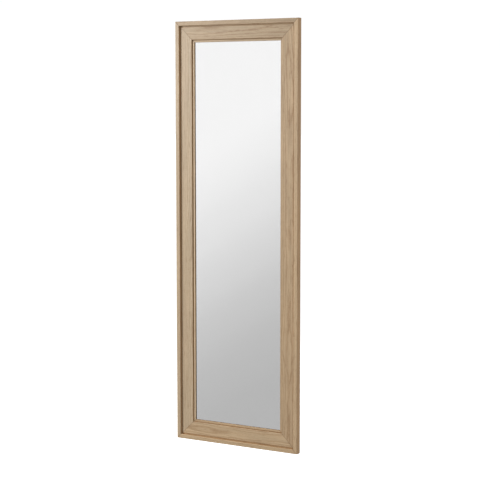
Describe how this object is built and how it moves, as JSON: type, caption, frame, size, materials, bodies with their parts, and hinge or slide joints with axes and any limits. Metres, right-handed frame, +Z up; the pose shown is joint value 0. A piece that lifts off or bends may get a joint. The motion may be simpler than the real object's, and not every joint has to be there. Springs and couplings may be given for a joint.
{
  "type": "full length wall mirror",
  "caption": "Tall rectangular wall mirror in a mitred built-up oak frame, hung by two swinging rings on its back.",
  "frame": {"origin": "below the middle of the mirror, level with its lower edge and halfway between the lip's front and the wall", "axes": "+Z up, +Y towards the wall, so the glass faces -Y; +X to the right of someone facing the glass"},
  "size_m": [0.6, 0.0344, 1.8],
  "materials": {
    "oak": "pale oak, matt lacquer",
    "beech": "pressed beech, bare",
    "bright_steel": "spring steel, bright",
    "float_glass": "clear float glass, ground edges",
    "silvering": "silver coat with grey back paint",
    "foam_tape": "tan closed-cell foam",
    "black_rubber": "matt rubber",
    "hardboard": "hardboard, bare",
    "yellow_zinc": "yellow zinc plated",
    "zinc_steel": "zinc plated, dull",
    "nickel_steel": "nickel plated, satin",
    "grey_rubber": "translucent grey rubber"
  },
  "bodies": {
    "mirror": {"outer_moulding_bottom": "oak", "frieze_bottom": "oak", "sight_bead_bottom": "oak", "outer_moulding_right": "oak", "frieze_right": "oak", "sight_bead_right": "oak", "outer_moulding_top": "oak", "frieze_top": "oak", "sight_bead_top": "oak", "outer_moulding_left": "oak", "frieze_left": "oak", "sight_bead_left": "oak", "mitre_biscuits": "beech", "mitre_v_nails": "bright_steel", "mirror_glass": "float_glass", "silver_coat": "silvering", "glazing_tape": "foam_tape", "glass_blocks": "black_rubber", "backing_board": "hardboard", "backing_board_screws": "yellow_zinc", "corner_plate_bottom_left": "zinc_steel", "corner_plate_bottom_right": "zinc_steel", "corner_plate_top_right": "zinc_steel", "corner_plate_top_left": "zinc_steel", "corner_plate_screws": "zinc_steel", "hanger_strap_left": "nickel_steel", "hanger_strap_right": "nickel_steel", "hanger_screws": "nickel_steel", "wall_bumpers": "grey_rubber"},
    "ring_left": {"hanger_ring_left": "nickel_steel"},
    "ring_right": {"hanger_ring_right": "nickel_steel"}
  },
  "joints": [
    {"name": "ring_left_swing", "type": "hinge", "parent": "mirror", "child": "ring_left", "pos_m": [-0.2595, 0.01425, 1.5], "axis": [1, 0, 0], "range_deg": [0, 180]},
    {"name": "ring_right_swing", "type": "hinge", "parent": "mirror", "child": "ring_right", "pos_m": [0.2595, 0.01425, 1.5], "axis": [1, 0, 0], "range_deg": [0, 180]}
  ]
}
